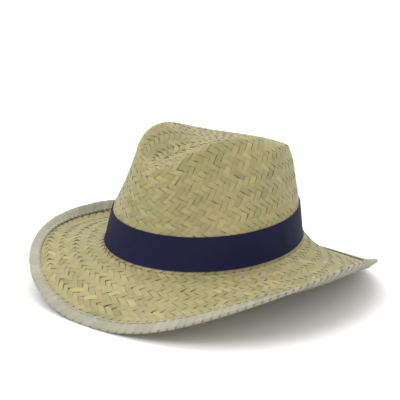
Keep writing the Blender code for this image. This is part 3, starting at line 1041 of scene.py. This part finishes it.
def binding_point(share, across):
    """Outer face of the folded binding: across runs from its upper edge round the fold to its lower edge."""
    skin = HAT["brim_out"]
    column = share * COLUMNS
    length = skin.length_at(column)
    wraps = wrap_number(share, across)
    step = WRAP_STEP * (1.0 - (wraps - np.floor(wraps)))
    edge_point, normal = skin.place(column, length, np.zeros_like(column))
    inner_point = skin.place(column, length - EDGE_MARGIN, np.zeros_like(column))[0]
    outward = edge_point - inner_point
    outward /= np.linalg.norm(outward, axis=-1, keepdims=True)
    angle = FOLD_ANGLE * (1.0 - 2.0 * np.clip((across - FOLD_START) / (FOLD_END - FOLD_START), 0.0, 1.0))
    centre = edge_point + outward * NOSE_RADIUS * 0.85 - normal * (STRAW_THICKNESS / 2.0)
    reach = (NOSE_RADIUS + step)[:, None]
    round_edge = centre + reach * (outward * np.cos(angle)[:, None] + normal * np.sin(angle)[:, None])
    upper_inset = BINDING_WIDTH * (1.0 - np.clip(across / FOLD_START, 0.0, 1.0))
    lower_inset = BINDING_WIDTH * np.clip((across - FOLD_END) / (1.0 - FOLD_END), 0.0, 1.0)
    top = skin.place(column, length - upper_inset, BINDING_LIFT + step)[0]
    bottom = skin.place(column, length - lower_inset, -STRAW_THICKNESS - BINDING_LIFT - step)[0]
    points = np.where((across < FOLD_START)[:, None], top, round_edge)
    return np.where((across > FOLD_END)[:, None], bottom, points)


class HAT_OT_binding(bpy.types.Operator):
    """Wraps the leaf binding over the brim's edge"""
    bl_idname = "hat.binding"
    bl_label = "Bind brim edge"

    def execute(self, context):
        random = np.random.default_rng(31)
        tints = strip_tints(random, BINDING_WRAPS)
        tints[:, 0] = 0.5 + random.normal(0.0, 0.11, BINDING_WRAPS)
        tints[:, 1] = 1.0 + random.normal(0.0, 0.050, BINDING_WRAPS)

        def tint_of(shares):
            """A tint per wrap, with a shaded line where the next wrap starts, deepest round the fold."""
            wraps = wrap_number(shares[:, 0], shares[:, 1])
            chosen = tints[np.floor(wraps).astype(int) % BINDING_WRAPS]
            near_joint = np.abs((wraps + 0.5) % 1.0 - 0.5) < JOINT_WIDTH / WRAP_SAMPLES
            depth = np.interp(shares[:, 1], JOINT_PLACES, JOINT_DEPTHS)
            chosen[:, 1] *= np.where(near_joint, 1.0 - depth, 1.0)
            return chosen

        columns = BINDING_WRAPS * WRAP_SAMPLES
        piece = lay_round("brim_binding_wraps", columns, 22, (0.0, 1.0), binding_point)
        store_after(piece, tint_of, ring_length(HAT["rings"][0]), BINDING_PATTERN_WIDTH)
        close_seam(piece)
        outward_normals(piece)
        thicken(piece, BINDING_LEAF, -1.0)
        smooth(piece, 35.0)
        finish_piece(piece, "hat", "leaf", MATERIALS["binding"], "brim_binding")
        set_material(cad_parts["edge_reed"], MATERIALS["reed"])
        return {"FINISHED"}


def stitch_row(name, path, stitch, seed, slot, body, material, node_name):
    """A row of short stitches along a path given as points and normals."""
    points, normals = path
    pitch, length, radius = stitch
    hop = np.linalg.norm(points[1:] - points[:-1], axis=-1)
    travelled = np.concatenate([[0.0], np.cumsum(hop)])
    count = int(travelled[-1] / pitch)
    flat, faces = stitch_template()
    random = np.random.default_rng(seed)
    middles = (np.arange(count) + 0.5) * travelled[-1] / count + random.normal(0.0, pitch * 0.04, count)
    at = middles[:, None] + flat[None, :, 0] * length

    def sample(places, values):
        return np.stack([np.interp(places, travelled, values[:, axis]) for axis in range(3)], -1)

    up = sample(at, normals)
    up /= np.linalg.norm(up, axis=-1, keepdims=True)
    side = np.cross(sample(at + 0.001, points) - sample(at - 0.001, points), up)
    side /= np.linalg.norm(side, axis=-1, keepdims=True)
    sink = -np.abs(flat[None, :, 0] * 2.0) ** 3 * radius * 0.9
    spots = sample(at, points) + side * (flat[None, :, 1] * radius)[..., None]
    spots = spots + up * (flat[None, :, 2] * radius + sink)[..., None]
    tints = np.repeat(strip_tints(random, count)[:, None, :], len(flat), 1)
    tints[..., 2] = 0.0
    across = np.repeat(flat[None, :, 1] * radius, count, 0)
    piece = copies_object(name, spots, faces, tints, at, across)
    outward_normals(piece)
    finish_piece(piece, body, slot, material, node_name)


def brim_path(lift, under=False):
    """Line of the binding's stitches on the brim, with the way its stitches face."""
    skin = HAT["brim_out"]
    column = np.arange(COLUMNS + 1, dtype=float)
    length = np.append(skin.length, skin.length[0]) - STITCH_INSET
    points, normals = skin.place(column, length, np.full(COLUMNS + 1, lift))
    return points, (-normals if under else normals)


class HAT_OT_binding_threads(bpy.types.Operator):
    """Sews the binding down with a row of stitches above and one below"""
    bl_idname = "hat.binding_threads"
    bl_label = "Sew binding"

    def execute(self, context):
        for side, lift, seed in (("top", STITCH_LIFT, 41), ("under", -STRAW_THICKNESS - STITCH_LIFT, 42)):
            stitch_row("binding_stitches_" + side, brim_path(lift, side == "under"), BRIM_STITCH, seed,
                       "seam_thread", "hat", MATERIALS["thread"], "binding_thread_" + side)
        return {"FINISHED"}


def wall_point(column, level, lift):
    """Point beside the crown's wall at a distance up from the foot, in true metres along the wall."""
    skin = HAT["crown_out"]
    return skin.place(column, level * skin.mean_length / skin.length_at(column), lift)


class HAT_OT_ribbon(bpy.types.Operator):
    """Lays the ribbon round the crown, with its end lapped over its beginning"""
    bl_idname = "hat.ribbon"
    bl_label = "Lay ribbon"

    def execute(self, context):
        height = context.scene.hat_cloth.ribbon_height

        def place(share, across):
            column = turn_to_column(share)
            past = (share - LAP_TURN - 1.0) / LAP_SHARE
            over = np.clip((past + 0.5) / 0.5, 0.0, 1.0)
            over = over * over * (3.0 - 2.0 * over) * (RIBBON_THICKNESS + GAP)
            slack = 0.00018 * np.sin(share * 2.0 * math.pi * 9.0) * np.sin(across * math.pi)
            slack = slack + 0.00010 * np.sin(share * 2.0 * math.pi * 23.0 + across * 3.0)
            selvage = 0.00010 * np.exp(-((np.minimum(across, 1.0 - across)) / 0.02) ** 2)
            lift = GAP + 0.0005 + over + np.abs(slack) + selvage
            return wall_point(column, RIBBON_FOOT + across * height, lift)[0]

        ends = (LAP_TURN, LAP_TURN + 1.0 + LAP_SHARE)
        piece = lay_round("ribbon_band", 480, 20, ends, place)
        around = ring_length(HAT["rings"][9 * STEPS - 5]) * (1.0 + LAP_SHARE)
        store_after(piece, plain_tint, around, height)
        outward_normals_open(piece)
        thicken(piece, RIBBON_CLOTH, -1.0)
        smooth(piece, 60.0)
        finish_piece(piece, "band", "ribbon", MATERIALS["ribbon"], "hat_band")
        around = measured_length(piece, height)
        return {"FINISHED"}


def measured_length(piece, width):
    """Length of a thin strip, from its area and its width."""
    area = sum(face.area for face in piece.data.polygons) / 2.0
    return area / width


class HAT_OT_lap_thread(bpy.types.Operator):
    """Sews the ribbon's lap with a row of stitches"""
    bl_idname = "hat.lap_thread"
    bl_label = "Sew ribbon lap"

    def execute(self, context):
        levels = np.linspace(0.0050, 0.0300, 40)
        column = np.full(40, turn_to_column(LAP_TURN + LAP_SHARE * 0.82))
        path = wall_point(column, levels, GAP * 2.0 + RIBBON_THICKNESS + 0.0008)
        stitch_row("ribbon_lap_stitches", path, LAP_STITCH, 51, "ribbon_thread", "band",
                   MATERIALS["ribbon_thread"], "band_lap_thread")
        return {"FINISHED"}


def inside_point(column, level, depth):
    """Point inside the crown's wall, at a depth in from the straw's outer face."""
    return wall_point(column, level, -np.asarray(depth) * np.ones_like(column))


class HAT_OT_sweatband(bpy.types.Operator):
    """Lays the cotton sweatband round the inside of the crown's foot and sews it"""
    bl_idname = "hat.sweatband"
    bl_label = "Lay sweatband"

    def execute(self, context):
        def place(share, across):
            ripple = 0.00016 * (1.0 + np.sin(share * 2.0 * math.pi * 31.0)) * (1.0 - across)
            hem = 0.00022 * np.exp(-((across - 0.07) / 0.05) ** 2)
            depth = STRAW_THICKNESS + 0.00055 + ripple + hem
            return inside_point(turn_to_column(share), SWEATBAND_FOOT + across * SWEATBAND_HEIGHT, depth)[0]

        ends = (0.5 + SWEATBAND_SLIT, 1.5 - SWEATBAND_SLIT)
        piece = lay_round("sweatband_tape", 420, 14, ends, place)
        around = ring_length(HAT["rings"][8 * STEPS]) * 0.96
        store_after(piece, plain_tint, around, SWEATBAND_HEIGHT)
        outward_normals_open(piece)
        thicken(piece, SWEATBAND_CLOTH, -1.0)
        smooth(piece, 60.0)
        finish_piece(piece, "hat", "sweatband_cloth", MATERIALS["sweatband"], "sweatband")
        column = np.linspace(0.0, COLUMNS, COLUMNS + 1)
        level = np.full(COLUMNS + 1, SWEATBAND_FOOT + SWEATBAND_SEAM)
        points, normals = inside_point(column, level, 0.0039)
        stitch_row("sweatband_stitches", (points, -normals), SWEATBAND_STITCH, 61, "seam_thread", "hat",
                   MATERIALS["thread"], "sweatband_thread")
        return {"FINISHED"}


def inside_cloth(name, turns, levels, thickness, rows, slot, material, node_name):
    """A small patch of cloth on the inner side of the sweatband."""
    def place(share, across):
        level = levels[0] + (levels[1] - levels[0]) * across
        return inside_point(turn_to_column(share), level, INSIDE_DEPTH)[0]

    piece = lay_round(name, 12, rows, turns, place)
    store_after(piece, plain_tint, (turns[1] - turns[0]) * 0.56, levels[1] - levels[0])
    outward_normals_open(piece)
    thicken(piece, thickness, -1.0)
    smooth(piece, 60.0)
    finish_piece(piece, "hat", slot, material, node_name)


class HAT_OT_small_cloths(bpy.types.Operator):
    """Adds the tape over the sweatband's joint and the blank size label"""
    bl_idname = "hat.small_cloths"
    bl_label = "Add joint tape and label"

    def execute(self, context):
        inside_cloth("sweatband_joint_tape_cloth", TAPE_TURNS, TAPE_LEVELS, 0.0005, 10, "sweatband_cloth",
                     MATERIALS["sweatband"], "sweatband_joint_tape")
        turns = (LABEL_TURN - LABEL_HALF_TURN, LABEL_TURN + LABEL_HALF_TURN)
        inside_cloth("size_label_cloth", turns, LABEL_LEVELS, 0.0004, 8, "label_cloth", MATERIALS["label"],
                     "size_label")
        return {"FINISHED"}


def area_light(name, place, size, power):
    """A square lamp turned towards the hat."""
    data = bpy.data.lights.new(name, "AREA")
    data.shape = "SQUARE"
    data.size = size
    data.energy = power
    lamp = bpy.data.objects.new(name, data)
    bpy.context.collection.objects.link(lamp)
    lamp.location = place
    lamp.rotation_euler = (Vector(LIGHT_TARGET) - Vector(place)).to_track_quat("-Z", "Y").to_euler()


class HAT_OT_stage(bpy.types.Operator):
    """Sets up the floor, the soft studio lights and the camera"""
    bl_idname = "hat.stage"
    bl_label = "Set up stage"

    def execute(self, context):
        settings = context.scene.hat_stage
        deselect_all()
        bpy.ops.mesh.primitive_plane_add(size=14.0, location=(0.0, 0.0, 0.0))
        floor = context.object
        floor.name = floor.data.name = "studio_floor"
        material, tree, shader = new_material("floor_white", 0.9)
        place = node(tree, "ShaderNodeTexCoord")
        mottle = noise(tree, place.outputs["Object"], 6.0, 2.0)
        pale = tuple(settings.floor_colour)
        tree.links.new(mix_colour(tree, mottle, scaled(pale, 0.995), pale), shader.inputs["Base Color"])
        floor.data.materials.append(material)
        world = bpy.data.worlds.new("studio")
        world.use_nodes = True
        sky = world.node_tree.nodes["Background"]
        sky.inputs["Color"].default_value = (1.0, 1.0, 1.0, 1.0)
        sky.inputs["Strength"].default_value = WORLD_STRENGTH
        context.scene.world = world
        area_light("key", (-0.45, -1.9, 2.1), 1.5, settings.key_power)
        area_light("fill", (1.9, -1.2, 1.0), 1.6, settings.key_power * 0.02)
        area_light("top", (-0.5, 0.3, 2.2), 1.6, settings.key_power * 0.85)
        context.scene.view_settings.view_transform = "Standard"
        context.scene.view_settings.look = "None"
        self.add_camera(context.scene)
        return {"FINISHED"}

    def add_camera(self, scene):
        """The camera is given in the block's frame and carried to where the hat stands."""
        a, e = CAMERA_AZIMUTH, CAMERA_ELEVATION
        back = np.array([math.sin(a) * math.cos(e), -math.cos(a) * math.cos(e), math.sin(e)])
        right = np.array([math.cos(a), math.sin(a), 0.0])
        up = np.cross(back, right)
        place = np.array([0.0, 0.0, CAMERA_TARGET_HEIGHT]) + back * CAMERA_DISTANCE
        cos_roll, sin_roll = math.cos(CAMERA_ROLL), math.sin(CAMERA_ROLL)
        turned_right = right * cos_roll + up * sin_roll
        turned_up = up * cos_roll - right * sin_roll
        turn = np.array(Matrix.Rotation(HAT["pitch"], 3, "X"))
        axes = np.stack([turn @ turned_right, turn @ turned_up, turn @ back], -1)
        data = bpy.data.cameras.new("studio_camera")
        data.lens = CAMERA_LENS
        data.sensor_width = 36.0
        data.shift_x, data.shift_y = CAMERA_SHIFT
        data.clip_start = 0.05
        camera = bpy.data.objects.new("studio_camera", data)
        scene.collection.objects.link(camera)
        matrix = Matrix([list(axes[i]) + [0.0] for i in range(3)] + [[0.0, 0.0, 0.0, 1.0]])
        matrix.translation = Vector(to_rest(place, HAT["pitch"], HAT["shift"]))
        camera.matrix_world = matrix
        scene.camera = camera


OPERATORS = (
    HAT_OT_brim_weave,
    HAT_OT_crown_weave,
    HAT_OT_strip_core,
    HAT_OT_binding,
    HAT_OT_binding_threads,
    HAT_OT_ribbon,
    HAT_OT_lap_thread,
    HAT_OT_sweatband,
    HAT_OT_small_cloths,
    HAT_OT_stage,
)


class HAT_PT_panel(bpy.types.Panel):
    """Lists the hat's pieces and settings"""
    bl_idname = "HAT_PT_panel"
    bl_label = "Straw fedora"
    bl_space_type = "VIEW_3D"
    bl_region_type = "UI"
    bl_category = "Fedora"

    def draw(self, context):
        for settings in (context.scene.hat_straw, context.scene.hat_cloth, context.scene.hat_stage):
            box = self.layout.box()
            for name in settings.__annotations__:
                box.prop(settings, name)
        for operator in OPERATORS:
            self.layout.operator(operator.bl_idname)


CLASSES = (StrawSettings, ClothSettings, StageSettings) + OPERATORS + (HAT_PT_panel,)


def register():
    for cls in CLASSES:
        bpy.utils.register_class(cls)
    bpy.types.Scene.hat_straw = bpy.props.PointerProperty(type=StrawSettings)
    bpy.types.Scene.hat_cloth = bpy.props.PointerProperty(type=ClothSettings)
    bpy.types.Scene.hat_stage = bpy.props.PointerProperty(type=StageSettings)


def unregister():
    del bpy.types.Scene.hat_stage
    del bpy.types.Scene.hat_cloth
    del bpy.types.Scene.hat_straw
    for cls in reversed(CLASSES):
        bpy.utils.unregister_class(cls)


def main():
    register()
    make_materials(bpy.context.scene)
    bpy.ops.hat.brim_weave()
    bpy.ops.hat.crown_weave()
    bpy.ops.hat.strip_core()
    bpy.ops.hat.binding()
    bpy.ops.hat.binding_threads()
    bpy.ops.hat.ribbon()
    bpy.ops.hat.lap_thread()
    bpy.ops.hat.sweatband()
    bpy.ops.hat.small_cloths()
    bpy.ops.hat.stage()
    deselect_all()
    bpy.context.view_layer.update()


if __name__ == "__main__":
    main()
